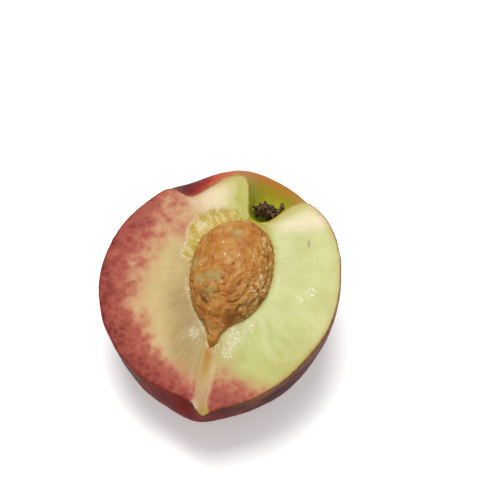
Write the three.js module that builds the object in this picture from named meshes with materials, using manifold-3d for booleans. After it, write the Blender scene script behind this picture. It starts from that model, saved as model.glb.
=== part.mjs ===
// Half of a ripe peach, cut along its suture, with the whole stone still in its socket and the dry
// remains of the stem in the stem cavity. Millimetres. The half lies on its cheek, cut face up.
//
// Fruit frame, used to shape every piece: +X from the suture side to the back of the fruit,
// +Y from the tip to the stem, +Z out of the cut face, with the tip at the origin.
import * as THREE from "three";
import { mergeVertices } from "three/addons/utils/BufferGeometryUtils.js";
import Module from "manifold-3d";

const wasm = await Module();
wasm.setup();

// Driving dimensions
const fruitWidth = 65.6; // suture side to back, across the cut face
const fruitLength = 70.2; // tip to the higher shoulder
const cheekDepth = 31.5; // cut face to the deepest point of the cheek
const stoneWidth = 22.6;
const stoneLength = 36.2;
const stoneThickness = 17.2;
const grooveHalfWidth = 5.2; // suture groove, from its bottom to where the cheek is full again
const clearance = 0.3; // between the flesh and what sits in it
const restDepth = 0.75; // how far the fruit's weight flattens the spot that it lies on
const pitchAngle = THREE.MathUtils.degToRad(10.5); // stem end raised
const rollAngle = THREE.MathUtils.degToRad(3.5); // back of the fruit raised

// A body is lofted through rings from one pole to the other. Each ring is an ellipse that crosses
// the cut plane at its left and right points; half is its depth, lift raises it halfway round, full
// makes its section squarer and groove is how far the suture is pressed into its left point.
const fruitRings = {
  size: [fruitWidth, fruitLength, cheekDepth],
  drawn: [65.6, 70.2, 31.5], // the size at which the rings below are given
  start: [-1.8, 55.1],
  end: [0, -0.5],
  rings: [
    { left: [-4.7, 56.4], right: [1.2, 56.1], half: 6.2, lift: -0.2, full: 0.1, groove: 0 },
    { left: [-6.1, 60.6], right: [3.8, 59.7], half: 9.2, lift: 0.3, full: 0.1, groove: 0.2 },
    { left: [-8.2, 66.9], right: [7, 63], half: 11.6, lift: 2.6, full: 0.1, groove: 1.2 },
    { left: [-12.4, 70.4], right: [10.2, 63.8], half: 14.4, lift: 4.6, full: 0.2, groove: 4 },
    { left: [-19, 68.8], right: [14.8, 61.8], half: 17.8, lift: 5.2, full: 0.2, groove: 6.9 },
    { left: [-26.5, 64.4], right: [19.4, 57.2], half: 22.4, lift: 4.4, full: 0.2, groove: 8.6 },
    { left: [-30.3, 60.9], right: [21.5, 53.9], half: 24.7, lift: 3, full: 0.2, groove: 3.9 },
    { left: [-33.5, 56.2], right: [23.3, 50.2], half: 26.8, lift: 1.8, full: 0.2, groove: 2.2 },
    { left: [-38.4, 45.5], right: [25.4, 42], half: 30, lift: 0.6, full: 0.15, groove: 0.8 },
    { left: [-39.8, 33.5], right: [25.7, 33], half: 31.5, lift: 0, full: 0.25, groove: 0 },
    { left: [-37.6, 22.8], right: [23.2, 24.6], half: 29.8, lift: -1, full: 0.42, groove: 0 },
    { left: [-31, 12.4], right: [18.3, 15.2], half: 25, lift: -2, full: 0.55, groove: 0.4 },
    { left: [-20.5, 4.4], right: [11.5, 7.8], half: 17, lift: -2.7, full: 0.58, groove: 1.2 },
    { left: [-9, 0.6], right: [5.4, 3.8], half: 9, lift: -3, full: 0.4, groove: 2.6 },
    { left: [-4, -0.4], right: [2.3, 1.5], half: 4, lift: -1, full: 0.2, groove: 3 },
  ],
};
const stoneRings = {
  size: [stoneWidth, stoneLength, stoneThickness / 2],
  drawn: [22.6, 36.2, 8.6],
  start: [-3.4, 54.2],
  end: [-3.4, 18],
  rings: [
    { left: [-9, 52.6], right: [1.4, 52.4], half: 4.2 },
    { left: [-13.2, 49.4], right: [4.4, 49], half: 6.6 },
    { left: [-15.4, 45], right: [6, 44.6], half: 8.1 },
    { left: [-15.7, 39.4], right: [6.9, 39], half: 8.6 },
    { left: [-14.4, 33.2], right: [6.1, 33.2], half: 8.2 },
    { left: [-11.8, 28.2], right: [3.6, 28.6], half: 6.8 },
    { left: [-8.4, 24.6], right: [0.2, 25.2], half: 4.4 },
    { left: [-5.8, 22], right: [-1.7, 22.4], half: 2 },
    { left: [-4.8, 19.6], right: [-2.1, 19.8], half: 1.3 },
  ],
};
const stoneKeel = 1.12; // above 1, the stone's section comes to an edge along the suture
const pocketWidth = 1.3; // torn-out flesh beside the stone, towards the suture and the stem
const pocketDepth = 1.5;
const pocketDirection = THREE.MathUtils.degToRad(138); // from +X, turning towards the stem

// Dry remains of the stem: a low crown of bract tips on the floor of the stem cavity
const stemRemains = { centre: [-1, 56.3, -4.6], radius: 3.9, height: 6.2, lobes: 5, lobeDepth: 0.2 };

// A smooth curve through the stations of one side of a body. The far side's first and last stations
// lead in and out, so that the surface is round where it crosses the poles.
function sideCurve(body, own, far, own3, far3) {
  const scaleX = body.size[0] / body.drawn[0];
  const scaleY = body.size[1] / body.drawn[1];
  const point = ([x, y], third) => new THREE.Vector3(x * scaleX, y * scaleY, third);
  const { rings, start, end } = body;
  const first = rings[0];
  const last = rings[rings.length - 1];
  const points = [
    point(first[far], far3(first)),
    point(start, 0),
    ...rings.map((ring) => point(ring[own], own3(ring))),
    point(end, 0),
    point(last[far], far3(last)),
  ];
  const curve = new THREE.CatmullRomCurve3(points, false, "catmullrom", 0.5);
  const spans = points.length - 1;
  return (t) => curve.getPoint((1 + t * (spans - 2)) / spans);
}

// Where a lofted body's surface is: t runs from the start pole to the end pole, angle round it from
// its right side, through the cheek below the cut face (negative z), to its left.
function loft(body) {
  const scaleZ = body.size[2] / body.drawn[2];
  const half = (ring) => ring.half * scaleZ;
  const rightSide = sideCurve(body, "right", "left", half, (ring) => -half(ring));
  const leftSide = sideCurve(body, "left", "right", half, (ring) => -half(ring));
  const lifts = sideCurve(body, "left", "right", (ring) => ring.lift ?? 0, () => 0);
  const fullness = sideCurve(body, "left", "right", (ring) => ring.full ?? 0, () => 0);
  return (t, angle) => {
    const right = rightSide(t);
    const left = leftSide(t);
    const depthwise = Math.sin(angle) ** 2;
    const across = (1 + Math.cos(angle) * (1 + fullness(t).z * depthwise)) / 2;
    const lift = lifts(t).z * depthwise;
    return new THREE.Vector3(
      THREE.MathUtils.lerp(left.x, right.x, across),
      THREE.MathUtils.lerp(left.y, right.y, across) + lift,
      -right.z * Math.sin(angle),
    );
  };
}

// A closed surface from point(t, angle), with rows of quads between two poles
function closedSurface(point, rows, columns) {
  const positions = [];
  const faces = [];
  const add = (p) => positions.push(p.x, p.y, p.z);
  add(point(0, 0));
  for (let row = 1; row < rows; row++) {
    for (let column = 0; column < columns; column++) {
      add(point(row / rows, (column / columns) * 2 * Math.PI));
    }
  }
  add(point(1, 0));
  const lastPole = positions.length / 3 - 1;
  const at = (row, column) => 1 + (row - 1) * columns + (column % columns);
  for (let column = 0; column < columns; column++) {
    faces.push(0, at(1, column), at(1, column + 1));
    for (let row = 1; row < rows - 1; row++) {
      const [a, b] = [at(row, column), at(row, column + 1)];
      const [c, d] = [at(row + 1, column), at(row + 1, column + 1)];
      faces.push(a, c, d, a, d, b);
    }
    faces.push(lastPole, at(rows - 1, column + 1), at(rows - 1, column));
  }
  const geometry = new THREE.BufferGeometry();
  geometry.setAttribute("position", new THREE.Float32BufferAttribute(positions, 3));
  geometry.setIndex(faces);
  return geometry;
}

// The fruit, with the suture groove pressed in towards the middle of the cut face
function fruitSurface() {
  const plain = loft(fruitRings);
  const grooveDepth = sideCurve(fruitRings, "left", "right", (ring) => ring.groove, () => 0);
  const middle = new THREE.Vector3(-0.11 * fruitWidth, 0.47 * fruitLength, 0);
  return (t, angle) => {
    const p = plain(t, angle);
    const sutureSide = Math.max(0, -Math.cos(angle));
    const press = grooveDepth(t).z * sutureSide * Math.exp(-((Math.abs(p.z) / grooveHalfWidth) ** 1.4));
    const inwards = middle.clone().sub(p).setZ(0).normalize();
    return p.addScaledVector(inwards, press);
  };
}

const stonePlain = loft(stoneRings);

function stoneSurface(t, angle) {
  const p = stonePlain(t, angle);
  p.z *= Math.abs(Math.sin(angle)) ** (stoneKeel - 1);
  return p;
}

// The stone grown by the clearance, and by the pocket that the knife and the twist tore beside it
function socketSurface(t, angle) {
  const p = stoneSurface(t, angle);
  const middle = new THREE.Vector3(-0.2 * stoneWidth, 38.5 * (stoneLength / 36.2), 0);
  const outwards = p.clone().sub(middle);
  const size = outwards.length();
  const bearing = Math.atan2(outwards.y, outwards.x);
  const facing = Math.max(0, Math.cos(bearing - pocketDirection)) ** 1.5;
  const shallow = Math.exp(-((p.z / pocketDepth) ** 2));
  const grown = clearance * 1.25 + pocketWidth * facing * shallow;
  return p.addScaledVector(outwards, grown / size);
}

// Radius and height from the middle of the underside, as parts of the crown's own. The seat in the
// flesh is round and stays open above the crown.
const crownProfile = [[0, 0], [0.42, 0.02], [0.75, 0.3], [1, 0.72], [0.86, 1], [0.45, 0.9], [0, 0.78]];
const seatProfile = [[0, -0.06], [0.6, -0.04], [1, 0.3], [1.25, 0.7], [1.25, 1.3], [0.8, 1.6], [0, 1.6]];

function stemSurface(profile, lobeDepth) {
  const { centre, radius, height, lobes } = stemRemains;
  const curve = new THREE.SplineCurve(
    profile.map(([r, h]) => new THREE.Vector2(r * radius, h * height)),
  );
  return (t, angle) => {
    const { x: r, y: h } = curve.getPoint(t);
    const lobed = r * (1 + lobeDepth * (r / radius) * Math.cos(lobes * angle));
    return new THREE.Vector3(
      centre[0] + lobed * Math.cos(angle),
      centre[1] + h,
      centre[2] + 0.9 * lobed * Math.sin(angle),
    );
  };
}

function solid(geometry) {
  const bare = geometry.clone();
  bare.deleteAttribute("normal");
  bare.deleteAttribute("uv");
  const merged = mergeVertices(bare, 1e-4);
  const vertProperties = new Float32Array(merged.attributes.position.array);
  const triVerts = new Uint32Array(merged.index.array);
  return new wasm.Manifold(new wasm.Mesh({ numProp: 3, vertProperties, triVerts }));
}

function geometryOf(manifold) {
  const { vertProperties, triVerts } = manifold.getMesh();
  const geometry = new THREE.BufferGeometry();
  geometry.setAttribute("position", new THREE.BufferAttribute(vertProperties, 3));
  geometry.setIndex(new THREE.BufferAttribute(triVerts, 1));
  geometry.computeVertexNormals();
  return geometry;
}

function block(width, height, depth, x, y, z) {
  return new THREE.BoxGeometry(width, height, depth).translate(x, y, z);
}

// How the half lies: turned by its pitch and roll, with the lowest point of the cheek at the origin
// and pressed flat there.
function restingPlace(fruit) {
  const turn = new THREE.Matrix4().makeRotationFromEuler(new THREE.Euler(pitchAngle, -rollAngle, 0));
  const positions = fruit.getAttribute("position");
  const lowest = new THREE.Vector3(0, 0, Infinity);
  const p = new THREE.Vector3();
  for (let i = 0; i < positions.count; i++) {
    p.fromBufferAttribute(positions, i);
    if (p.z > 0) continue;
    p.applyMatrix4(turn);
    if (p.z < lowest.z) lowest.copy(p);
  }
  return turn.setPosition(-lowest.x, -lowest.y, -lowest.z - restDepth);
}

const fruit = closedSurface(fruitSurface(), 54, 88);
const place = restingPlace(fruit);
const reach = 3 * fruitLength;
const otherHalf = block(reach, reach, reach, 0, 0, reach / 2);
const ground = block(reach, reach, reach, 0, 0, -reach / 2).applyMatrix4(place.clone().invert());
const socket = closedSurface(socketSurface, 34, 52);
const stemSeat = closedSurface(stemSurface(seatProfile, 0), 14, 30);

const flesh = solid(fruit)
  .subtract(solid(otherHalf))
  .subtract(solid(ground))
  .subtract(solid(socket))
  .subtract(solid(stemSeat));

const materials = {
  peach: new THREE.MeshStandardMaterial({ name: "peach", color: 0xb9605a, roughness: 0.45, metalness: 0 }),
  stone: new THREE.MeshStandardMaterial({ name: "stone", color: 0xb9793f, roughness: 0.5, metalness: 0 }),
  stem: new THREE.MeshStandardMaterial({ name: "stem", color: 0x3a2a1c, roughness: 0.9, metalness: 0 }),
};

const halfPeach = new THREE.Group();

function addPiece(name, geometry, material) {
  const mesh = new THREE.Mesh(geometry, material);
  mesh.name = name;
  halfPeach.add(mesh);
}

addPiece("peach_half", geometryOf(flesh), materials.peach);
addPiece("peach_stone", closedSurface(stoneSurface, 34, 52), materials.stone);
const crown = closedSurface(stemSurface(crownProfile, stemRemains.lobeDepth), 12, 30);
addPiece("stem_remains", crown, materials.stem);

halfPeach.applyMatrix4(place);

export default halfPeach;
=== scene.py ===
import math

import bpy
import numpy as np
from mathutils import Matrix, Vector, noise
from mathutils.bvhtree import BVHTree


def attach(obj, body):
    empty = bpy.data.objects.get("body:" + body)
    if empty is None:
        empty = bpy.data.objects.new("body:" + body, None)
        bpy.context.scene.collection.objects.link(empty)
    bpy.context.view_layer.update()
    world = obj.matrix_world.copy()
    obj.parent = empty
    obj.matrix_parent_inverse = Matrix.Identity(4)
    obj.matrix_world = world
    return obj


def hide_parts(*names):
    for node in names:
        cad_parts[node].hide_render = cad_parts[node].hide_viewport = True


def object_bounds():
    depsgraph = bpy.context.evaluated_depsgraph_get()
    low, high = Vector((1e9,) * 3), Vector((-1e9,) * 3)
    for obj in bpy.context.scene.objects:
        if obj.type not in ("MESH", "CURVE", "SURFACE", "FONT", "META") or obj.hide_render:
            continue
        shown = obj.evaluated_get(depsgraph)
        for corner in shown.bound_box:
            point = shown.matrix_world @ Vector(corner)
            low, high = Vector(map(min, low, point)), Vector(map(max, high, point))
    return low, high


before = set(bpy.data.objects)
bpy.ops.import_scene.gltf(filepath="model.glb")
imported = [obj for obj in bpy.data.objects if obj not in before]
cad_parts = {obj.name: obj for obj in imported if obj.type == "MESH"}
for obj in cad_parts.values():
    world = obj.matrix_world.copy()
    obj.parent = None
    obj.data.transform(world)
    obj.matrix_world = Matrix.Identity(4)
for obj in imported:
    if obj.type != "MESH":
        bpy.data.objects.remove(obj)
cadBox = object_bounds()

mm = 0.001
scene = bpy.context.scene
bpy.ops.object.select_all(action="DESELECT")


# where the fruit lies: X to its back, Y to its stem, Z out of the cut face, tip near 0, 0, 0
lie = {
    "pitch": math.radians(10.5),
    "roll": math.radians(3.5),
    "tipBeyondZero": 0.5,  # mm that the tip reaches past the origin
}
turn = (Matrix.Rotation(lie["pitch"], 3, "X") @ Matrix.Rotation(-lie["roll"], 3, "Y")).to_4x4()
fruitAxes = np.array(turn.to_3x3())


def meshPoints(mesh):
    co = np.empty(len(mesh.vertices) * 3)
    mesh.vertices.foreach_get("co", co)
    return co.reshape(-1, 3)


turned = meshPoints(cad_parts["peach_half"].data) @ fruitAxes
cutHeight = turned[:, 2].max()
onCut = turned[turned[:, 2] > cutHeight - 0.02 * mm]
tip = onCut[onCut[:, 1].argmin()]
origin = fruitAxes @ np.array([tip[0], tip[1] + lie["tipBeyondZero"] * mm, cutHeight])


def fruitPoints(mesh):
    return (meshPoints(mesh) - origin) @ fruitAxes / mm


def setFruitPoints(mesh, points):
    mesh.vertices.foreach_set("co", (points * mm @ fruitAxes.T + origin).ravel())
    mesh.update()


def keepInBox(points):
    # nothing may stand out past the box of the CAD model, and the rest spot stays flat
    low, high = (np.array(corner) for corner in cadBox)
    placed = np.clip(points * mm @ fruitAxes.T + origin, low, high)
    return (placed - origin) @ fruitAxes / mm


def meshNormals(mesh):
    normals = np.empty(len(mesh.vertices) * 3)
    mesh.vertices.foreach_get("normal", normals)
    return normals.reshape(-1, 3) @ fruitAxes


def inRowFrame(point):
    return Vector(fruitAxes @ (np.array(point) * mm) + origin)


def smoothStep(low, high, x):
    t = np.clip((x - low) / (high - low), 0, 1)
    return t * t * (3 - 2 * t)


def grain(points, size, seed, octaves=2):
    shift = Vector((seed * 13.7, seed * -7.3, seed * 3.1))
    scaled = points / size
    return np.array([noise.fractal(Vector(p) + shift, 0.9, 2.1, octaves) for p in scaled])


def distanceToLine(points, line):
    # from each point to the nearest place on a line through a few points, and how far along that is
    nearest = np.full(len(points), 1e9)
    along = np.zeros(len(points))
    for i in range(len(line) - 1):
        a = np.array(line[i], float)
        b = np.array(line[i + 1], float)
        t = np.clip(((points - a) @ (b - a)) / ((b - a) @ (b - a)), 0, 1)
        gap = np.linalg.norm(points - a - t[:, None] * (b - a), axis=1)
        closer = gap < nearest
        nearest = np.where(closer, gap, nearest)
        along = np.where(closer, (i + t) / (len(line) - 1), along)
    return nearest, along


def store(mesh, name, values):
    if values.ndim == 1:
        layer = mesh.attributes.new(name, "FLOAT", "POINT")
        layer.data.foreach_set("value", values.astype(np.float32))
    else:
        layer = mesh.attributes.new(name, "FLOAT_VECTOR", "POINT")
        layer.data.foreach_set("vector", values.astype(np.float32).ravel())


def copyOfNode(nodeName, name):
    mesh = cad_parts[nodeName].data.copy()
    mesh.materials.clear()
    piece = bpy.data.objects.new(name, mesh)
    scene.collection.objects.link(piece)
    bpy.ops.object.select_all(action="DESELECT")
    piece.select_set(True)
    bpy.context.view_layer.objects.active = piece
    bpy.ops.object.mode_set(mode="EDIT")
    bpy.ops.mesh.select_all(action="SELECT")
    bpy.ops.mesh.remove_doubles(threshold=0.002 * mm)
    bpy.ops.object.mode_set(mode="OBJECT")
    return piece


def remesh(piece, voxel, smoothing):
    modifier = piece.modifiers.new("even mesh", "REMESH")
    modifier.mode = "VOXEL"
    modifier.voxel_size = voxel * mm
    bpy.ops.object.modifier_apply(modifier=modifier.name)
    modifier = piece.modifiers.new("relax", "SMOOTH")
    modifier.factor = 0.5
    modifier.iterations = smoothing
    bpy.ops.object.modifier_apply(modifier=modifier.name)
    bpy.ops.object.shade_smooth()


def linear(hexColour):
    channels = [int(hexColour[i:i + 2], 16) / 255 for i in (1, 3, 5)]
    return tuple(c / 12.92 if c <= 0.04045 else ((c + 0.055) / 1.055) ** 2.4 for c in channels) + (1,)


def addNode(material, kind, settings={}, links={}):
    # settings name either a property of the node or one of its inputs, links join inputs to outputs
    made = material.node_tree.nodes.new("ShaderNode" + kind)
    for key, value in settings.items():
        if isinstance(key, str) and hasattr(made, key):
            setattr(made, key, value)
        else:
            made.inputs[key].default_value = value
    for key, output in links.items():
        material.node_tree.links.new(output, made.inputs[key])
    return made


def newMaterial(name):
    material = bpy.data.materials.new(name)
    material.use_nodes = True
    material.node_tree.nodes.clear()
    return material


def setRamp(ramp, stops):
    elements = ramp.color_ramp.elements
    while len(elements) < len(stops):
        elements.new(0.5)
    for element, (place, colour) in zip(elements, stops):
        element.position = place
        element.color = linear(colour)


peach = {
    "voxel": 0.37,
    "stoneCentre": (-4.5, 39, 0),
    "redSide": [  # bearing round the stone, from the back: depth of the red under the skin, its strength
        (-180, 18, 0.92),
        (-150, 17, 1.0),
        (-125, 15, 1.0),
        (-108, 13, 0.95),
        (-97, 12, 0.85),
        (-90, 12, 0.7),
        (-85, 10, 0.5),
        (-80, 15, 0.85),
        (-72, 15, 0.85),
        (-62, 10, 0.4),
        (-50, 5, 0.12),
        (-30, 1.5, 0.05),
        (30, 1.5, 0.05),
        (50, 5, 0.16),
        (64, 5, 0.14),
        (80, 2, 0.05),
        (112, 3, 0.06),
        (124, 5, 0.1),
        (136, 16, 0.28),
        (150, 18, 0.54),
        (165, 18, 0.85),
        (180, 18, 0.92),
    ],
    "strand": [(-3.4, 18.5, 0), (-3.3, 14.5, 0), (-3.0, 11, 0), (-2.1, 7, 0), (-1.6, 3.5, 0), (0.2, -0.4, 0)],
    "strandHeight": 0.1,
    "tornReach": [  # bearing round the stone: how far the torn wet flesh reaches from the stone
        (-180, 1.7),
        (-165, 0.9),
        (-120, 0.5),
        (86, 0.5),
        (97, 1.5),
        (106, 3.2),
        (117, 4.8),
        (127, 5.4),
        (141, 5.6),
        (150, 4.8),
        (159, 2.4),
        (172, 3.2),
        (180, 1.7),
    ],
    "cavityWall": [(-13, 69.5, 0), (-9, 66.6, 0), (-6.4, 61, 0), (-4.8, 56.4, 0), (-3, 55, 0)],
    "cavityFarWall": [(0, 55.6, 0), (3.8, 58.6, 0), (7.5, 62.6, 0)],
    "wetPlaces": [  # middle and radius of where juice stands in beads, which get painted glints and a painted whitish sheen
        ((0.6, 22.5, 0), 3.6),
        ((1.2, 18, 0), 2.0),
        ((4.2, 26, 0), 2.2),
        ((-9, 20.5, 0), 1.7),
        ((-7, 24, 0), 1.8),
        ((18, 39.6, 0), 1.7),
        ((15.5, 37, 0), 1.1),
        ((-16.4, 49.6, 0), 2),
        ((-3, 2.2, 0), 1.6),
    ],
    "whitish": [(-20, 57.5, 0), (-16, 58.5, 0), (-11.5, 60, 0)],  # pale flesh under the stem's shoulders
    "whitishToo": [(6, 56, 0), (11, 58.5, 0), (14, 60, 0)],
    "khaki": [(-14, 27, 0), (-11, 20, 0), (-8, 13, 0)],  # darker, greyer colour beside the lower end of the stone
    "bruise": [(13.3, 53.4, 0), (13.7, 51.7, 0)],
}


def gapsTo(points, tree):
    return np.array([tree.find_nearest(Vector(p))[3] for p in points])


def triangles(mesh):
    mesh.calc_loop_triangles()
    corners = np.empty(len(mesh.loop_triangles) * 3, int)
    mesh.loop_triangles.foreach_get("vertices", corners)
    return corners.reshape(-1, 3)


def makePeachHalf(stoneTree):
    piece = copyOfNode("peach_half", "peachHalf")
    mesh = piece.data

    # the skin is every face that is neither on the cut nor turned to the stone close by
    points = fruitPoints(mesh)
    faces = triangles(mesh)
    middles = points[faces].mean(axis=1)
    edgeA = points[faces[:, 1]] - points[faces[:, 0]]
    edgeB = points[faces[:, 2]] - points[faces[:, 0]]
    facing = np.cross(edgeA, edgeB)
    towardsStone = ((np.array(peach["stoneCentre"]) - middles) * facing).sum(axis=1) > 0
    cut = middles[:, 2] > -0.02
    socket = (gapsTo(middles, stoneTree) < 3.6) & towardsStone & ~cut
    skinTree = BVHTree.FromPolygons([Vector(p) for p in points], faces[~cut & ~socket].tolist())
    socketTree = BVHTree.FromPolygons([Vector(p) for p in points], faces[socket].tolist())

    remesh(piece, peach["voxel"], 2)
    points = fruitPoints(mesh)
    normals = meshNormals(mesh)
    skinGap = gapsTo(points, skinTree)
    stoneGap = gapsTo(points, stoneTree)
    socketGap = gapsTo(points, socketTree)
    print("peach half remeshed:", len(points), "points")

    # polar place on the cut face, round the stone
    outwards = points - np.array(peach["stoneCentre"])
    reach = np.hypot(outwards[:, 0], outwards[:, 1])
    bearing = np.degrees(np.arctan2(outwards[:, 1], outwards[:, 0]))
    fibre = np.stack([outwards[:, 0] / reach * 20, outwards[:, 1] / reach * 20, reach * 0.09], axis=1)
    onCutFace = smoothStep(-0.7, -0.25, points[:, 2]) * smoothStep(0.5, 0.9, normals[:, 2])

    # relief of the cut: smooth and watery, with the strand to the tip and the flesh torn off the stone
    streaks = grain(fibre, 1.3, 3, 3)
    lumps = grain(points, 4.2, 5, 2)
    strandGap, strandAlong = distanceToLine(points * (1, 1, 0), peach["strand"])
    strandWidth = 1.0 + 0.9 * smoothStep(0.25, 0.7, strandAlong)
    strand = np.exp(-((strandGap / strandWidth) ** 2)) * smoothStep(-1.5, -0.5, points[:, 2])
    tornTable = np.array(peach["tornReach"])
    tornReach = np.interp(bearing, tornTable[:, 0], tornTable[:, 1])
    tornEdge = stoneGap + 0.7 * grain(points, 2.4, 9, 3)
    torn = smoothStep(0.6, -0.6, tornEdge - tornReach) * smoothStep(-4, -2, points[:, 2])
    inner = smoothStep(0.8, 3, skinGap)
    relief = 0.012 * streaks * smoothStep(0.6, 2.5, stoneGap) * inner
    relief += 0.03 * lumps * inner
    relief += peach["strandHeight"] * strand * inner
    relief -= 0.14 * np.exp(-(((strandGap - 2.5) / 0.8) ** 2)) * smoothStep(2, 8, points[:, 1]) * inner
    relief += torn * (0.2 * grain(points, 2.3, 9, 3) - 0.12)
    points = points + normals * (relief * np.maximum(onCutFace, torn * 0.8))[:, None]

    # the flesh clings to the stone
    onward = bearing + 360 * (bearing < -150)
    hold = 0.7 + 1.6 * smoothStep(82, 96, onward) * smoothStep(215, 190, onward)
    for i in np.flatnonzero((stoneGap < hold + 0.5) & (points[:, 2] > -7)):
        nearest = np.array(stoneTree.find_nearest(Vector(points[i]))[0])
        if points[i, 2] > -1.8:
            nearest[2] = max(nearest[2], -0.12)
        points[i] += (nearest - points[i]) * (1 - smoothStep(hold[i], hold[i] + 0.5, stoneGap[i]))

    tornHeight = 0.16 * grain(points, 2.1, 10, 3) - 0.08
    shallow = torn * (points[:, 2] > -1.9)
    points[:, 2] += shallow * (tornHeight - points[:, 2])

    # skin: very slight unevenness
    onSkin = smoothStep(0.5, 0.1, skinGap) * (1 - onCutFace)
    uneven = 0.16 * grain(points, 9, 11, 2) + 0.03 * grain(points, 2.2, 12, 2)
    points = keepInBox(points + normals * (onSkin * uneven)[:, None])
    setFruitPoints(mesh, points)

    # how red the flesh is: most under the skin, fading inwards
    table = np.array(peach["redSide"])
    depth = np.interp(bearing, table[:, 0], table[:, 1])
    strength = np.interp(bearing, table[:, 0], table[:, 2])
    wander = grain(points, 6, 21, 3)
    share = np.clip(1 - skinGap / depth + 0.16 * wander, 0, 1)
    red = strength * share ** 1.25 * (0.95 + 0.22 * grain(points, 3.2, 22, 3))
    red *= 1 - 0.92 * smoothStep(0.2, 0.7, strand) * smoothStep(0.05, 0.3, strandAlong)
    # back of the fruit green-white, suture side cream
    backSide = smoothStep(-7, 5, points[:, 0] + 0.12 * (points[:, 1] - 39) + 1.2 * wander)
    wallGap = np.minimum(
        distanceToLine(points * (1, 1, 0), peach["cavityWall"])[0] * 0.3,
        distanceToLine(points * (1, 1, 0), peach["cavityFarWall"])[0] * 0.9,
    )
    cavityGap = np.linalg.norm((points - (-1.2, 57, -5)) * (1, 0.8, 0.85), axis=1)
    wet = np.zeros(len(points))
    for middle, radius in peach["wetPlaces"]:
        gap = np.linalg.norm(points - np.array(middle), axis=1)
        wet = np.maximum(wet, smoothStep(1.25, 0.5, gap / radius))
    bruiseGap = distanceToLine(points, peach["bruise"])[0]
    whitishGap = distanceToLine(points * (1, 1, 0), peach["whitish"])[0]
    whitishGap = np.minimum(whitishGap, distanceToLine(points * (1, 1, 0), peach["whitishToo"])[0] + 1.5)
    khakiGap = distanceToLine(points * (1, 1, 0), peach["khaki"])[0]

    store(mesh, "fruit", points)
    store(mesh, "fibre", fibre)
    store(mesh, "skinGap", skinGap)
    store(mesh, "stoneGap", np.minimum(stoneGap, socketGap * 1.2 + 3 * (points[:, 2] > -1)))
    store(mesh, "tornShare", torn * np.clip(tornEdge / np.maximum(tornReach, 0.1), 0, 1))
    store(mesh, "red", np.clip(red, 0, 1))
    store(mesh, "backSide", backSide)
    store(mesh, "tan", backSide * smoothStep(-19, -1, points[:, 2]))
    store(mesh, "cavitySide", smoothStep(2.8, 0.3, wallGap + 0.4 * wander))
    store(mesh, "cavityGap", cavityGap)
    store(mesh, "strandGap", strandGap)
    store(mesh, "strandAlong", strandAlong)
    store(mesh, "torn", torn)
    store(mesh, "wet", wet)
    store(mesh, "whitish", 0.85 * smoothStep(6, 1, whitishGap + wander))
    store(mesh, "khaki", smoothStep(8, 1, khakiGap + wander))
    store(mesh, "bruise", smoothStep(0.45, 0.1, bruiseGap))

    # skin or flesh, face by face
    faceCount = len(mesh.polygons)
    centres = np.empty(faceCount * 3)
    facingUp = np.empty(faceCount * 3)
    mesh.polygons.foreach_get("center", centres)
    mesh.polygons.foreach_get("normal", facingUp)
    centres = (centres.reshape(-1, 3) - origin) @ fruitAxes / mm
    facingUp = (facingUp.reshape(-1, 3) @ fruitAxes)[:, 2]
    skinAway = gapsTo(centres, skinTree)
    onFlesh = (skinAway > 0.42) | ((facingUp > 0.72) & (centres[:, 2] > -0.6))
    mesh.materials.append(peachSkin())
    mesh.materials.append(cutFlesh())
    mesh.polygons.foreach_set("material_index", onFlesh.astype(np.int32))
    mesh.update()
    return piece
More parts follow.
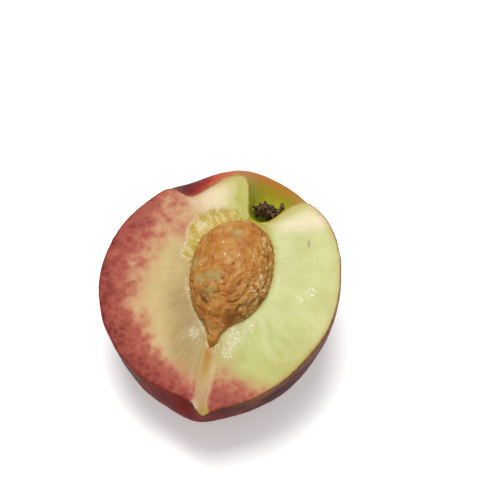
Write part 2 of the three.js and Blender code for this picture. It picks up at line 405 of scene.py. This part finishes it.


# Ripe peach flesh, cut with a knife: pale and watery, red under the skin of the suture side, with
# beads of juice and a wet shine, the shine partly a clear coat and partly painted glints and sheen
def cutFlesh():
    material = newMaterial("cut peach flesh, wet")
    fruit = addNode(material, "Attribute", {"attribute_name": "fruit"}).outputs["Vector"]
    fibre = addNode(material, "Attribute", {"attribute_name": "fibre"}).outputs["Vector"]
    value = {}
    for name in ("skinGap", "stoneGap", "tornShare", "red", "backSide", "cavitySide", "strandGap",
                 "strandAlong", "torn", "wet", "bruise", "whitish", "khaki"):
        value[name] = addNode(material, "Attribute", {"attribute_name": name}).outputs["Fac"]

    def spread(source, low, high, toLow, toHigh):
        ranges = {"From Min": low, "From Max": high, "To Min": toLow, "To Max": toHigh,
                  "interpolation_type": "SMOOTHSTEP"}
        return addNode(material, "MapRange", ranges, {"Value": source}).outputs[0]

    def over(below, colour, amount):
        if isinstance(colour, str):
            return addNode(material, "Mix", {"data_type": "RGBA", 7: linear(colour)}, {0: amount, 6: below}).outputs[2]
        return addNode(material, "Mix", {"data_type": "RGBA"}, {0: amount, 6: below, 7: colour}).outputs[2]

    def product(a, b):
        return addNode(material, "Math", {"operation": "MULTIPLY"}, {0: a, 1: b}).outputs[0]

    def coloursAlong(source, stops):
        ramp = addNode(material, "ValToRGB", {}, {"Fac": source})
        setRamp(ramp, stops)
        return ramp.outputs["Color"]

    # fibres 0.6 mm across, blotches of 2.4 mm, watery patches of 7 mm, beads of juice of 0.8 mm
    fibres = addNode(material, "TexNoise", {"Scale": 1 / 0.6, "Detail": 3}, {"Vector": fibre}).outputs["Fac"]
    blotches = addNode(material, "TexNoise", {"Scale": 1 / 2.4, "Detail": 4, "Roughness": 0.6},
                       {"Vector": fruit}).outputs["Fac"]
    patches = addNode(material, "TexNoise", {"Scale": 1 / 7, "Detail": 3}, {"Vector": fruit}).outputs["Fac"]
    fine = addNode(material, "TexNoise", {"Scale": 1 / 0.7, "Detail": 2}, {"Vector": fruit}).outputs["Fac"]
    beads = addNode(material, "TexVoronoi", {"feature": "F1", "Scale": 1 / 0.85}, {"Vector": fruit})

    # ground colour: cream at the suture side, green-white at the back
    fromStone = spread(value["stoneGap"], 0, 18, 0, 1)
    cream = coloursAlong(fromStone, [(0, "#B89D60"), (0.35, "#C6AC70"), (0.7, "#CEB47C"), (1, "#D0B07A")])
    green = coloursAlong(fromStone, [(0, "#C0C37C"), (0.35, "#B6BA66"), (0.7, "#B9BC68"), (1, "#BAB864")])
    colour = over(cream, green, value["backSide"])
    colour = over(colour, "#DDD9A8", spread(patches, 0.42, 0.66, 0, 0.22))
    colour = over(colour, "#A89A5E", spread(patches, 0.5, 0.34, 0, 0.14))
    # painted highlight: pale streaks along the fibres close to the stone
    colour = over(colour, "#E4DDB4", product(spread(fibres, 0.45, 0.7, 0, 0.14), spread(fromStone, 0.7, 0, 0, 1)))
    colour = over(colour, "#E2D0AC", value["whitish"])
    colour = over(colour, "#96794A", product(value["khaki"], spread(fibres, 0.35, 0.65, 0.6, 0.42)))
    colour = over(colour, "#ACAA34", value["cavitySide"])
    colour = over(colour, "#A9853A", spread(value["skinGap"], 2.2, 0.3, 0, 0.35))

    # red: blotchy, deepest in the middle of each juicy cell of 2.3 mm, from a pink wash to dark red
    cells = addNode(material, "TexVoronoi", {"feature": "SMOOTH_F1", "Scale": 1 / 2.3, "Smoothness": 0.6},
                    {"Vector": fruit}).outputs["Distance"]
    broken = addNode(material, "Math", {"operation": "ADD"},
                     {0: spread(blotches, 0.3, 0.7, -0.2, 0.2), 1: spread(cells, 0.1, 0.6, 0.08, -0.08)}).outputs[0]
    redness = addNode(material, "Math", {"operation": "MULTIPLY_ADD"},
                      {0: broken, 1: value["red"], 2: value["red"]}).outputs[0]
    reds = coloursAlong(redness, [(0.05, "#C29466"), (0.22, "#C07C58"), (0.46, "#A94C37"), (0.75, "#922E1F"),
                                  (1, "#7A1A12")])
    colour = over(colour, reds, spread(redness, 0, 0.42, 0, 1))
    walls = addNode(material, "TexVoronoi", {"feature": "DISTANCE_TO_EDGE", "Scale": 1 / 2.3}, {"Vector": fruit})
    wallMask = product(spread(walls.outputs["Distance"], 0.02, 0.25, 0.06, 0), spread(redness, 0.1, 0.4, 0, 1))
    colour = over(colour, "#DDB096", wallMask)

    # the strand to the tip: pinkish white, with a golden core at the stone
    bandMask = product(spread(value["strandGap"], 1.2, 2.4, 0.85, 0), spread(value["strandAlong"], 0, 0.3, 0.3, 1))
    band = coloursAlong(value["strandAlong"], [(0, "#C0A862"), (0.45, "#C09C70"), (0.8, "#B88C68"), (0.95, "#A69038")])
    colour = over(colour, band, bandMask)
    core = coloursAlong(value["strandAlong"], [(0, "#A8651F"), (0.2, "#B0842C"), (0.5, "#B89846")])
    colour = over(colour, "#A9684C", product(bandMask, spread(fibres, 0.5, 0.62, 0, 0.4)))
    coreMask = product(spread(value["strandGap"], 0.4, 1.5, 1, 0), spread(value["strandAlong"], 0.35, 0.62, 1, 0))
    colour = over(colour, core, coreMask)

    # wet yellow where the flesh tore from the stone, darkest along its outer edge, with painted pale glints in the fine
    # noise
    tornColour = coloursAlong(value["tornShare"], [(0.1, "#BA8420"), (0.35, "#C2A53A"), (0.74, "#B89F34"),
                                                   (0.95, "#AA9038")])
    tornWithPaintedGlints = over(tornColour, "#E6DDA8", spread(fine, 0.52, 0.68, 0, 0.3))
    colour = over(colour, tornWithPaintedGlints, spread(value["torn"], 0.1, 0.9, 0, 0.9))
    colour = over(colour, "#B98A38", spread(value["stoneGap"], 1.0, 0.1, 0, 0.75))

    # a thin rim in the colour of the skin, and one small bruise
    rim = coloursAlong(value["backSide"], [(0, "#80281F"), (1, "#94683A")])
    plainEdge = spread(value["cavitySide"], 0.5, 0.1, 0, 1)
    colour = over(colour, rim, product(plainEdge, spread(value["skinGap"], 0.6, 0.1, 0, 0.7)))
    colour = over(colour, "#94523A", product(value["bruise"], spread(fine, 0.3, 0.5, 0.3, 0.85)))

    # juice in beads: a painted whitish sheen over the wet places and painted white glints on the beads, whose mask also
    # raises the bump
    colour = over(colour, "#DAD6AE", product(value["wet"], spread(patches, 0.3, 0.6, 0.1, 0.35)))
    beadTop = spread(beads.outputs["Distance"], 0.48, 0.14, 0, 1)
    beadBumpAndGlintMask = product(product(beadTop, value["wet"]), spread(blotches, 0.4, 0.55, 0.15, 1))
    colour = over(colour, "#FFFCEC", product(beadBumpAndGlintMask, spread(fine, 0.35, 0.55, 0.4, 1)))
    height = addNode(material, "Math", {"operation": "MULTIPLY_ADD", 1: 3.5}, {0: beadBumpAndGlintMask, 2: fine}).outputs[0]

    bumpA = addNode(material, "Bump", {"Strength": 0.14, "Distance": 0.12 * mm}, {"Height": fibres})
    bumpB = addNode(material, "Bump", {"Strength": 0.4, "Distance": 0.12 * mm},
                    {"Height": height, "Normal": bumpA.outputs["Normal"]})
    shader = addNode(
        material, "BsdfPrincipled",
        {"Roughness": 0.42, "IOR": 1.36, "Coat Weight": 0.14, "Coat Roughness": 0.1, "Specular IOR Level": 0.35,
         "Subsurface Weight": 0.35, "Subsurface Radius": (1.0, 0.6, 0.3), "Subsurface Scale": 1.8 * mm},
        {"Base Color": colour, "Normal": bumpB.outputs["Normal"]},
    )
    addNode(material, "OutputMaterial", {}, {"Surface": shader.outputs[0]})
    return material


# Peach skin: dark red and finely mottled with a soft sheen, yellow-green round the stem
def peachSkin():
    material = newMaterial("ripe peach skin")
    fruit = addNode(material, "Attribute", {"attribute_name": "fruit"}).outputs["Vector"]
    cavity = addNode(material, "Attribute", {"attribute_name": "cavityGap"}).outputs["Fac"]
    tan = addNode(material, "Attribute", {"attribute_name": "tan"}).outputs["Fac"]

    clouds = addNode(material, "TexNoise", {"Scale": 1 / 14, "Detail": 4, "Roughness": 0.6}, {"Vector": fruit})
    stretched = addNode(material, "Mapping", {"Scale": (1, 0.25, 1)}, {"Vector": fruit})
    streaks = addNode(material, "TexNoise", {"Scale": 1 / 2.2, "Detail": 4, "Roughness": 0.65},
                      {"Vector": stretched.outputs[0]})
    speckle = addNode(material, "TexVoronoi", {"feature": "F1", "Scale": 1 / 1.5}, {"Vector": fruit})

    redRamp = addNode(material, "ValToRGB", {}, {"Fac": clouds.outputs["Fac"]})
    setRamp(redRamp, [(0.3, "#380606"), (0.46, "#54100D"), (0.6, "#701812"), (0.78, "#882A16")])
    streaked = addNode(material, "MixRGB", {"blend_type": "OVERLAY", "Fac": 0.45},
                       {"Color1": redRamp.outputs["Color"], "Color2": streaks.outputs["Fac"]})
    brownPart = addNode(material, "Math", {"operation": "MULTIPLY"}, {0: tan, 1: clouds.outputs["Fac"]})
    brownish = addNode(material, "MapRange", {"From Min": 0.3, "From Max": 0.68, "To Max": 0.75},
                       {"Value": brownPart.outputs[0]})
    browned = addNode(material, "Mix", {"data_type": "RGBA", 7: linear("#84603A")},
                      {0: brownish.outputs[0], 6: streaked.outputs["Color"]})
    dots = addNode(material, "MapRange", {"From Min": 0.05, "From Max": 0.16, "To Min": 0.25, "To Max": 0},
                   {"Value": speckle.outputs["Distance"]})
    dotted = addNode(material, "Mix", {"data_type": "RGBA", 7: linear("#A85A3C")},
                     {0: dots.outputs[0], 6: browned.outputs[2]})

    unevenGap = addNode(material, "Math", {"operation": "MULTIPLY_ADD", 1: 5},
                        {0: streaks.outputs["Fac"], 2: cavity})
    cavityShare = addNode(material, "MapRange", {"From Min": 7, "From Max": 27}, {"Value": unevenGap.outputs[0]})
    cavityRamp = addNode(material, "ValToRGB", {}, {"Fac": cavityShare.outputs[0]})
    setRamp(cavityRamp, [(0, "#9FAA26"), (0.25, "#93831A"), (0.42, "#A8702A"), (0.58, "#B9582A"), (0.8, "#B4271A")])
    cavityMix = addNode(material, "MapRange", {"From Min": 0.55, "From Max": 1.0, "To Min": 1, "To Max": 0,
                                               "interpolation_type": "SMOOTHSTEP"},
                        {"Value": cavityShare.outputs[0]})
    coloured = addNode(material, "Mix", {"data_type": "RGBA"},
                       {0: cavityMix.outputs[0], 6: dotted.outputs[2], 7: cavityRamp.outputs["Color"]})

    pores = addNode(material, "TexNoise", {"Scale": 1 / 0.35, "Detail": 2}, {"Vector": fruit})
    bump = addNode(material, "Bump", {"Strength": 0.35, "Distance": 0.05 * mm}, {"Height": pores.outputs["Fac"]})
    rough = addNode(material, "MapRange", {"From Min": 0.3, "From Max": 0.7, "To Min": 0.5, "To Max": 0.66},
                    {"Value": streaks.outputs["Fac"]})
    shader = addNode(
        material, "BsdfPrincipled",
        {"IOR": 1.25, "Specular IOR Level": 0.3},
        {"Base Color": coloured.outputs[2], "Roughness": rough.outputs[0], "Normal": bump.outputs["Normal"]},
    )
    addNode(material, "OutputMaterial", {}, {"Surface": shader.outputs[0]})
    return material


stone = {
    "voxel": 0.22,
    "centre": (-4.5, 39, 0),
    "deepFurrows": [  # width, depth, then the line that it follows over the upper side
        (0.95, 1.0, [(-11.2, 30.6, 5.2), (-8.9, 28.9, 5.5), (-6.5, 27.9, 5.5), (-4.6, 28.8, 6), (-3.4, 30.6, 6.8)]),
        (0.8, 0.85, [(-5.6, 26.3, 4.5), (-4.0, 25.5, 4.2), (-2.2, 26.0, 4.4)]),
        (0.7, 0.8, [(-1.4, 26.4, 4.3), (0.5, 26.6, 3.9), (2.4, 28.2, 3.2)]),
        (0.6, 0.6, [(-15.2, 40, 3.2), (-14.6, 36.7, 3.7), (-13.2, 33.3, 4.3), (-11.9, 30.8, 4.6), (-10.4, 28.8, 4.6)]),
        (0.6, 0.4, [(-12.4, 36.3, 5.7), (-11.8, 34.8, 6), (-10.5, 33.8, 6.6)]),
        (0.6, 0.3, [(-11, 45.2, 6.3), (-11.9, 42.3, 6.3), (-11.4, 39.7, 6.8), (-10.1, 37.4, 7.4)]),
        (0.45, 0.5, [(-9.6, 41.2, 7.6), (-9.5, 40, 7.7), (-9, 39, 7.9)]),
        (0.6, 0.6, [(0.2, 37.2, 7.7), (0.3, 35.6, 7.5), (-0.3, 33.6, 7.4), (-1.6, 32, 7.1)]),
        (0.55, 0.55, [(4.3, 44.5, 4.7), (4.5, 42.7, 4.9), (4.4, 40.8, 5.3)]),
        (0.5, 0.5, [(2.6, 36.3, 6.4), (2.9, 34.7, 6)]),
        (0.7, 0.7, [(5.9, 35.5, 2.7), (5.2, 33.2, 3.4), (3.7, 31.0, 4.1), (2.2, 29.6, 4.4)]),
        (0.8, 0.22, [(-13.4, 48.6, 2.5), (-9.3, 50.4, 4.6), (-5, 50.6, 5.8), (-1, 49.6, 6.1)]),
        (0.8, 0.2, [(-12.4, 45.5, 4.9), (-8.6, 48.2, 6.4), (-4.9, 48.4, 7), (-1.4, 47.2, 7.3)]),
        (0.7, 0.55, [(-1.9, 30.2, 6.5), (-0.2, 29.4, 5.7), (1.4, 29.8, 5.1)]),
        (0.7, 0.5, [(2.4, 33.0, 6), (0.7, 32, 6.5), (-1.2, 31.4, 6.8)]),
        (0.7, 0.5, [(-8.6, 32.4, 6.8), (-7, 31.4, 6.9), (-5.2, 32, 7.1)]),
        (0.55, 0.45, [(3.6, 40, 5.8), (4.8, 38, 4.9), (5.4, 36.4, 4)]),
        (0.5, 0.4, [(-6.6, 24.4, 3.4), (-4.6, 23.6, 2.8), (-2.4, 24.4, 3.2)]),
        (0.4, 0.35, [(-4.3, 23, 2), (-3.9, 21, 1.5), (-3.7, 19.6, 1.2)]),
    ],
    "pits": [(-2.8, 39.8, 8.5), (2.9, 38.2, 6.4), (2.5, 35.3, 6.4), (-13.6, 40, 5.1), (-4.4, 35.1, 8.2),
             (-7.2, 31, 6.8), (1.2, 43.2, 7.2), (4.6, 47.3, 3.6), (-12.4, 45.3, 4.4)],
    "palePatches": [(0.6, 50.6, 4.4), (2.4, 49.2, 4.1), (4.3, 46.4, 4.2), (5.2, 43, 4), (3.2, 41.7, 6), (4.6, 38.8, 5)],
    "greenPatches": [(-10.7, 33.8, 6.3), (-8.5, 35.1, 7.7), (-6.2, 35.3, 8.2), (-7, 31, 6.9), (-4.7, 48.6, 7),
                     (-14.2, 38.5, 4)],
}


def makeStone():
    piece = copyOfNode("peach_stone", "peachStone")
    mesh = piece.data
    remesh(piece, stone["voxel"], 3)
    points = fruitPoints(mesh)
    normals = meshNormals(mesh)
    print("stone remeshed:", len(points), "points")

    away = (points - np.array(stone["centre"])) / (11.3, 16, 8.6)
    rings = np.hypot(away[:, 0], away[:, 1])
    lowerEnd = smoothStep(38, 30, points[:, 1])
    rightSide = smoothStep(-1, 4, points[:, 0])
    furrowed = np.clip(0.15 + 0.85 * np.maximum(lowerEnd, 0.6 * rightSide) + 0.5 * smoothStep(0.75, 0.95, rings), 0, 1)

    # soft furrows that wander round the stone, as contour lines of a warped distance
    warp = grain(points, 9, 31, 2)
    lines = rings * 5 + warp * 1.3 + points[:, 2] * 0.06
    waves = 0.5 + 0.5 * np.cos(2 * math.pi * lines)
    breaks = smoothStep(-0.35, 0.3, grain(points, 4.5, 32, 2))
    furrow = waves ** 2.2 * (0.02 + breaks * (0.12 + 0.86 * furrowed)) * 0.62
    creases = smoothStep(0.13, 0.0, np.abs(grain(points, 2.9, 38, 2))) * smoothStep(-0.2, 0.2, grain(points, 4, 39, 2))
    furrow = np.maximum(furrow, creases * (0.12 + 0.5 * furrowed))
    for width, depth, line in stone["deepFurrows"]:
        wobble = 1 + 0.3 * grain(points, 1.8, 33, 2)
        gap, along = distanceToLine(points, line)
        ends = 0.3 + 0.7 * np.sin(math.pi * np.clip(along, 0.04, 0.96))
        furrow = np.maximum(furrow, depth * ends * np.exp(-((gap / (width * 0.72 * wobble)) ** 2)))
    for pit in stone["pits"]:
        gap = np.linalg.norm(points - np.array(pit), axis=1)
        furrow = np.maximum(furrow, 0.8 * np.exp(-((gap / 0.4) ** 2)))
    lumps = 0.36 * grain(points, 2.6, 35, 2) * (0.25 + 0.75 * furrowed) + 0.05 * grain(points, 0.9, 36, 2)
    neck = smoothStep(24, 20.5, points[:, 1])
    held = 1 - 0.85 * np.exp(-((points[:, 2] / 0.9) ** 2))  # where the flesh holds it
    shift = (lumps - 0.9 * furrow) * (1 - 0.6 * neck) * held + 0.05
    points = keepInBox(points + normals * shift[:, None])
    setFruitPoints(mesh, points)

    pale = np.zeros(len(points))
    for patch in stone["palePatches"]:
        gap = np.linalg.norm(points - np.array(patch), axis=1)
        pale = np.maximum(pale, np.exp(-((gap / 2) ** 2)))
    # painted light: the right side is made paler along with the pale patches
    pale = np.maximum(pale, 0.85 * rightSide) * smoothStep(-0.2, 0.5, grain(points, 1.3, 37, 3))
    greenish = np.zeros(len(points))
    for patch in stone["greenPatches"]:
        gap = np.linalg.norm(points - np.array(patch), axis=1)
        greenish = np.maximum(greenish, np.exp(-((gap / 1.6) ** 2)))
    store(mesh, "fruit", points)
    store(mesh, "furrow", np.clip(furrow * 1.15, 0, 1))
    store(mesh, "pale", pale)
    store(mesh, "band", np.cos(2 * math.pi * (rings * 8 + warp * 2.4)) * smoothStep(-0.2, 0.3, grain(points, 3, 40, 2)))
    store(mesh, "greenish", greenish)
    mesh.materials.append(wetStone())
    return piece


# Wet peach stone: hard orange-brown wood with painted shade darkening its furrows, and shreds of flesh left on it
def wetStone():
    material = newMaterial("peach stone, wet")
    fruit = addNode(material, "Attribute", {"attribute_name": "fruit"}).outputs["Vector"]
    value = {}
    for name in ("furrow", "pale", "greenish", "band"):
        value[name] = addNode(material, "Attribute", {"attribute_name": name}).outputs["Fac"]
    blotches = addNode(material, "TexNoise", {"Scale": 1 / 3.5, "Detail": 4, "Roughness": 0.6}, {"Vector": fruit})
    fine = addNode(material, "TexNoise", {"Scale": 1 / 0.5, "Detail": 3}, {"Vector": fruit})
    ground = addNode(material, "ValToRGB", {}, {"Fac": blotches.outputs["Fac"]})
    setRamp(ground, [(0.32, "#A45A18"), (0.45, "#B06E26"), (0.55, "#B67B32"), (0.7, "#C08E46")])
    bandMix = addNode(material, "MapRange", {"From Min": 0.1, "From Max": 0.9, "To Max": 0.45}, {"Value": value["band"]})
    banded = addNode(material, "Mix", {"data_type": "RGBA", 7: linear("#CFA063")},
                     {0: bandMix.outputs[0], 6: ground.outputs["Color"]})
    fineMix = addNode(material, "MixRGB", {"blend_type": "OVERLAY", "Fac": 0.25},
                      {"Color1": banded.outputs[2], "Color2": fine.outputs["Fac"]})
    # the pale patches, and the right side made paler as painted light
    paleMix = addNode(material, "Math", {"operation": "MULTIPLY"}, {0: value["pale"], 1: fine.outputs["Fac"]})
    paleMore = addNode(material, "MapRange", {"From Min": 0.1, "From Max": 0.5, "To Max": 0.75}, {"Value": paleMix.outputs[0]})
    paled = addNode(material, "Mix", {"data_type": "RGBA", 7: linear("#DDC48E")},
                    {0: paleMore.outputs[0], 6: fineMix.outputs["Color"]})
    greenMix = addNode(material, "Math", {"operation": "MULTIPLY", 1: 0.75}, {0: value["greenish"]})
    greened = addNode(material, "Mix", {"data_type": "RGBA", 7: linear("#A89E62")},
                      {0: greenMix.outputs[0], 6: paled.outputs[2]})
    # painted shade: the colour darkens towards deep brown with the depth of the furrows
    furrowShade = addNode(material, "MapRange", {"From Min": 0.15, "From Max": 0.85, "To Max": 0.85},
                        {"Value": value["furrow"]})
    furrowed = addNode(material, "Mix", {"data_type": "RGBA", 7: linear("#6E4212")},
                       {0: furrowShade.outputs[0], 6: greened.outputs[2]})
    # painted glints of wet juice, 0.3 mm across and 1.3 mm apart, in patches of the blotch noise
    stoneGlints = addNode(material, "TexVoronoi", {"feature": "F1", "Scale": 1 / 1.3}, {"Vector": fruit})
    stoneGlintTop = addNode(material, "MapRange", {"From Min": 0.2, "From Max": 0.08, "To Min": 0, "To Max": 1},
                      {"Value": stoneGlints.outputs["Distance"]})
    stoneGlintPlace = addNode(material, "MapRange", {"From Min": 0.5, "From Max": 0.6, "To Max": 0.8},
                        {"Value": blotches.outputs["Fac"]})
    stoneGlintMask = addNode(material, "Math", {"operation": "MULTIPLY"}, {0: stoneGlintTop.outputs[0], 1: stoneGlintPlace.outputs[0]})
    furrowed = addNode(material, "Mix", {"data_type": "RGBA", 7: linear("#FFF0CC")},
                       {0: stoneGlintMask.outputs[0], 6: furrowed.outputs[2]})
    bump = addNode(material, "Bump", {"Strength": 0.6, "Distance": 0.1 * mm}, {"Height": fine.outputs["Fac"]})
    shader = addNode(
        material, "BsdfPrincipled",
        {"Roughness": 0.5, "IOR": 1.4, "Coat Weight": 0.06, "Coat Roughness": 0.15, "Specular IOR Level": 0.35,
         "Subsurface Weight": 0.1, "Subsurface Radius": (1, 0.5, 0.2), "Subsurface Scale": 0.8 * mm},
        {"Base Color": furrowed.outputs[2], "Normal": bump.outputs["Normal"]},
    )
    addNode(material, "OutputMaterial", {}, {"Surface": shader.outputs[0]})
    return material


# a lumpy core with jagged bracts round it
remains = {
    "centre": (-1.0, 59.8, -4.3),
    "coreSize": (3.2, 2.0, 2.7),
    "bracts": 11,
    "bractLength": 3.9,
    "bractWidth": 2.6,
    "bractThickness": 0.32,
    "curl": [(2.2, 60.2, -3.6), (2.9, 61.4, -3.0), (2.6, 62.3, -2.8)],  # a bract tip that has curled up
    "curlThickness": 0.42,
}


def makeStemRemains():
    bpy.ops.object.select_all(action="DESELECT")
    bpy.ops.mesh.primitive_ico_sphere_add(subdivisions=5, radius=1)
    core = bpy.context.active_object
    core.name = "stemRemains"
    points = meshPoints(core.data) * remains["coreSize"]
    knobs = grain(points, 2.2, 41, 3)
    points = points * (1 + 0.55 * knobs)[:, None] + np.array(remains["centre"])
    setFruitPoints(core.data, points)

    bracts = []
    for i in range(remains["bracts"]):
        around = 2 * math.pi * (i + 0.35 * math.sin(i * 2.4)) / remains["bracts"]
        length = remains["bractLength"] * (1 + 0.25 * math.sin(i * 4.1))
        bpy.ops.object.select_all(action="DESELECT")
        bpy.ops.mesh.primitive_grid_add(x_subdivisions=10, y_subdivisions=14, size=1)
        bract = bpy.context.active_object
        leaf = meshPoints(bract.data)
        across = leaf[:, 0] * 2
        along = leaf[:, 1] + 0.5
        ragged = 1 + 0.35 * grain(leaf * 3 + i, 1, 43, 3)
        width = remains["bractWidth"] * (1 - along) ** 0.55 * (0.7 + 0.6 * along) * ragged
        out = 1.1 + length * along * 0.72
        rise = -1.2 + length * (0.25 * along + 0.5 * along ** 2.2 * math.sin(i * 1.7 + 1)) + 0.25 * across ** 2
        side = across * width * 0.5 + 0.4 * math.sin(i * 3.3) * along ** 2
        x = out * math.cos(around) - side * math.sin(around)
        z = out * math.sin(around) + side * math.cos(around)
        placed = np.stack([x, rise + 0.2 * grain(leaf * 4, 1, 44 + i, 2), z * 0.9], axis=1)
        setFruitPoints(bract.data, placed + np.array(remains["centre"]))
        modifier = bract.modifiers.new("thickness", "SOLIDIFY")
        modifier.thickness = remains["bractThickness"] * mm
        modifier.offset = 0
        bpy.ops.object.modifier_apply(modifier=modifier.name)
        bracts.append(bract)

    for place, radius in zip(remains["curl"], (1.3, 1.1, 0.8)):
        bpy.ops.object.select_all(action="DESELECT")
        bpy.ops.mesh.primitive_ico_sphere_add(subdivisions=3, radius=1)
        bead = bpy.context.active_object
        setFruitPoints(bead.data, meshPoints(bead.data) * radius * remains["curlThickness"] * 1.6 + np.array(place))
        bracts.append(bead)

    bpy.ops.object.select_all(action="DESELECT")
    for part in [core, *bracts]:
        part.select_set(True)
    bpy.context.view_layer.objects.active = core
    bpy.ops.object.join()
    remesh(core, 0.12, 1)
    points = fruitPoints(core.data)
    normals = meshNormals(core.data)
    crumbs = 0.16 * grain(points, 0.55, 45, 3)
    points = points + normals * crumbs[:, None]
    setFruitPoints(core.data, points)
    store(core.data, "fruit", points)
    core.data.materials.append(dryStem())
    print("stem remains:", len(points), "points")
    return core


# Dead stem and bract tissue: dry, brown to black, crumbly and without shine
def dryStem():
    material = newMaterial("dry stem remains")
    fruit = addNode(material, "Attribute", {"attribute_name": "fruit"}).outputs["Vector"]
    crumbs = addNode(material, "TexNoise", {"Scale": 1 / 0.9, "Detail": 4, "Roughness": 0.7}, {"Vector": fruit})
    colour = addNode(material, "ValToRGB", {}, {"Fac": crumbs.outputs["Fac"]})
    setRamp(colour, [(0.34, "#140C06"), (0.44, "#33200F"), (0.54, "#60401E"), (0.66, "#94683A")])
    bump = addNode(material, "Bump", {"Strength": 0.8, "Distance": 0.15 * mm}, {"Height": crumbs.outputs["Fac"]})
    shader = addNode(material, "BsdfPrincipled", {"Roughness": 0.8},
                     {"Base Color": colour.outputs["Color"], "Normal": bump.outputs["Normal"]})
    addNode(material, "OutputMaterial", {}, {"Surface": shader.outputs[0]})
    return material


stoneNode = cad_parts["peach_stone"].data
stoneTree = BVHTree.FromPolygons([Vector(p) for p in fruitPoints(stoneNode)], triangles(stoneNode).tolist())

peachHalf = makePeachHalf(stoneTree)
peachStone = makeStone()
stemRemains = makeStemRemains()

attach(peachHalf, "root")
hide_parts("peach_half")
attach(peachStone, "root")
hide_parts("peach_stone")
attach(stemRemains, "root")
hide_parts("stem_remains")
print("pieces on the frame")


view = {
    "azimuth": math.radians(17.8),
    "elevation": math.radians(64),
    "distance": 0.3372,
    "lens": 90,
    "seen": (-5.2, 33.35, 0),  # a point on the cut face and where it is from the middle, in mm
    "right": 7.55,
    "up": 11.33,
}
studio = {
    "softboxSize": 0.32,
    "softboxPlace": (-0.08, 0.18, 0.8),
    "softboxPower": 4.9,
    "sky": 0.44,
    "tableGlow": 0.26,
}


def makeCamera():
    a, e = view["azimuth"], view["elevation"]
    right = Vector((math.cos(a), math.sin(a), 0))
    back = Vector((math.sin(a) * math.cos(e), -math.cos(a) * math.cos(e), math.sin(e)))
    up = back.cross(right)
    aim = inRowFrame(view["seen"]) + right * view["right"] * mm + up * view["up"] * mm
    turned = Matrix((right, up, back)).transposed().to_euler()
    bpy.ops.object.camera_add(location=aim + back * view["distance"], rotation=turned)
    camera = bpy.context.active_object
    camera.data.lens = view["lens"]
    camera.data.clip_start = 0.01
    scene.camera = camera


def whiteBoard():
    material = newMaterial("white board")
    shader = addNode(material, "BsdfPrincipled",
                     {"Base Color": linear("#FFFFFF"), "Roughness": 0.9, "Emission Color": linear("#FFFFFF"),
                      "Emission Strength": studio["tableGlow"]})
    addNode(material, "OutputMaterial", {}, {"Surface": shader.outputs[0]})
    return material


def makeStudio():
    bpy.ops.object.select_all(action="DESELECT")
    bpy.ops.mesh.primitive_plane_add(size=3)
    floor = bpy.context.active_object
    floor.name = "floor"
    floor.data.materials.append(whiteBoard())

    place = Vector(studio["softboxPlace"])
    aim = (Vector((0, 0, 0.02)) - place).to_track_quat("-Z", "Y").to_euler()
    bpy.ops.object.light_add(type="AREA", location=place, rotation=aim)
    softbox = bpy.context.active_object
    softbox.data.shape = "SQUARE"
    softbox.data.size = studio["softboxSize"]
    softbox.data.energy = studio["softboxPower"]

    world = bpy.data.worlds.new("studio")
    scene.world = world
    world.use_nodes = True
    world.node_tree.nodes["Background"].inputs["Color"].default_value = (1, 1, 1, 1)
    world.node_tree.nodes["Background"].inputs["Strength"].default_value = studio["sky"]


makeCamera()
makeStudio()
scene.view_settings.view_transform = "Standard"
print("camera and studio ready")
